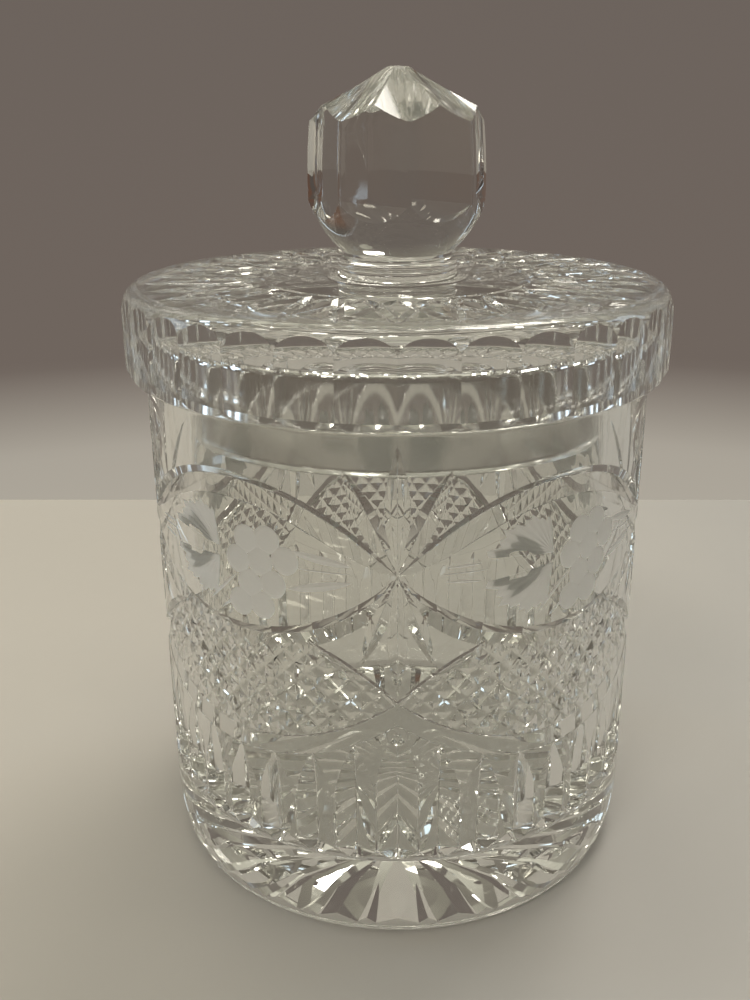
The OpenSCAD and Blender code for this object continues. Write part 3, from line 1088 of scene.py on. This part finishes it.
def setRoom():
    world = bpy.data.worlds.new("room")
    bpy.context.scene.world = world
    world.use_nodes = True
    nodes, links = world.node_tree.nodes, world.node_tree.links
    place = nodes.new("ShaderNodeTexCoord")
    ray = place.outputs["Generated"]
    height = alongNode(nodes, links, ray, (0, 0, 1))
    fade = nodes.new("ShaderNodeValToRGB")
    ramp = fade.color_ramp.elements
    while len(ramp) < len(setting["roomTones"]):
        ramp.new(1)
    for stop, (degrees, tone) in zip(ramp, setting["roomTones"]):
        stop.position = (math.sin(math.radians(degrees)) + 1) / 2
        stop.color = tone + (1,)
    links.new(mathNode(nodes, links, "MULTIPLY_ADD", height, 0.5, 0.5), fade.inputs["Fac"])
    # the half of the room behind the viewer is darker
    back = nodes.new("ShaderNodeMapRange")
    back.inputs["From Min"].default_value = setting["behindFade"][0]
    back.inputs["From Max"].default_value = setting["behindFade"][1]
    back.inputs["To Min"].default_value = setting["behindShade"]
    links.new(alongNode(nodes, links, ray, (0, 1, 0.35)), back.inputs["Value"])
    shaded = nodes.new("ShaderNodeVectorMath")
    shaded.operation = "SCALE"
    links.new(fade.outputs["Color"], shaded.inputs[0])
    links.new(back.outputs["Result"], shaded.inputs["Scale"])
    colour = shaded.outputs["Vector"]
    for name, (bearing, rise, wide, tall, tone, strength) in softBoxes.items():
        mix = nodes.new("ShaderNodeMix")
        mix.label = name
        mix.data_type = "RGBA"
        links.new(boxNode(nodes, links, ray, bearing, rise, wide, tall), mix.inputs["Factor"])
        links.new(colour, mix.inputs["A"])
        mix.inputs["B"].default_value = tuple(c * strength for c in tone) + (1,)
        colour = mix.outputs["Result"]
    # looked at straight, the room is plain; the soft boxes only show in the glass
    path = nodes.new("ShaderNodeLightPath")
    plain = nodes.new("ShaderNodeMix")
    plain.data_type = "RGBA"
    links.new(path.outputs["Is Camera Ray"], plain.inputs["Factor"])
    links.new(colour, plain.inputs["A"])
    links.new(fade.outputs["Color"], plain.inputs["B"])
    light = nodes["Background"]
    links.new(plain.outputs["Result"], light.inputs["Color"])


# each lamp: place, aim, width, height, watts, colour
lamps = {
    "ceilingLamp": ((0.45, 0.55, 1.35), (0, 0, 0.08), 0.42, 0.42, 4.6, (1, 0.95, 0.86)),
    "secondLamp": ((-0.35, -0.75, 1.25), (0, 0, 0.1), 0.26, 0.2, 2.2, (1, 0.95, 0.85)),
}


def setLamps():
    for name, (place, aim, wide, tall, watts, colour) in lamps.items():
        data = bpy.data.lights.new(name, "AREA")
        data.shape, data.size, data.size_y = "RECTANGLE", wide, tall
        data.energy, data.color = watts, colour
        lamp = bpy.data.objects.new(name, data)
        bpy.context.scene.collection.objects.link(lamp)
        lamp.location = place
        lamp.rotation_euler = (Vector(aim) - Vector(place)).to_track_quat("-Z", "Y").to_euler()


# where the camera stands, how far it looks down in degrees, and its lens
viewer = {"place": (0, -0.2826, 0.2014), "down": 20.38, "lens": 37.8, "sensor": 36, "shift": -0.0225}


def setCamera():
    data = bpy.data.cameras.new("studioCamera")
    data.lens, data.sensor_width = viewer["lens"], viewer["sensor"]
    data.shift_x = viewer["shift"]
    camera = bpy.data.objects.new("studioCamera", data)
    bpy.context.scene.collection.objects.link(camera)
    camera.location = viewer["place"]
    camera.rotation_euler = (math.radians(90 - viewer["down"]), 0, 0)
    bpy.context.scene.camera = camera


setTable()
setRoom()
setLamps()
setCamera()
scene = bpy.context.scene
scene.view_settings.view_transform = "Standard"
scene.cycles.max_bounces = 32
scene.cycles.transmission_bounces = 32
scene.cycles.glossy_bounces = 24
scene.cycles.transparent_max_bounces = 16
print("stage set")
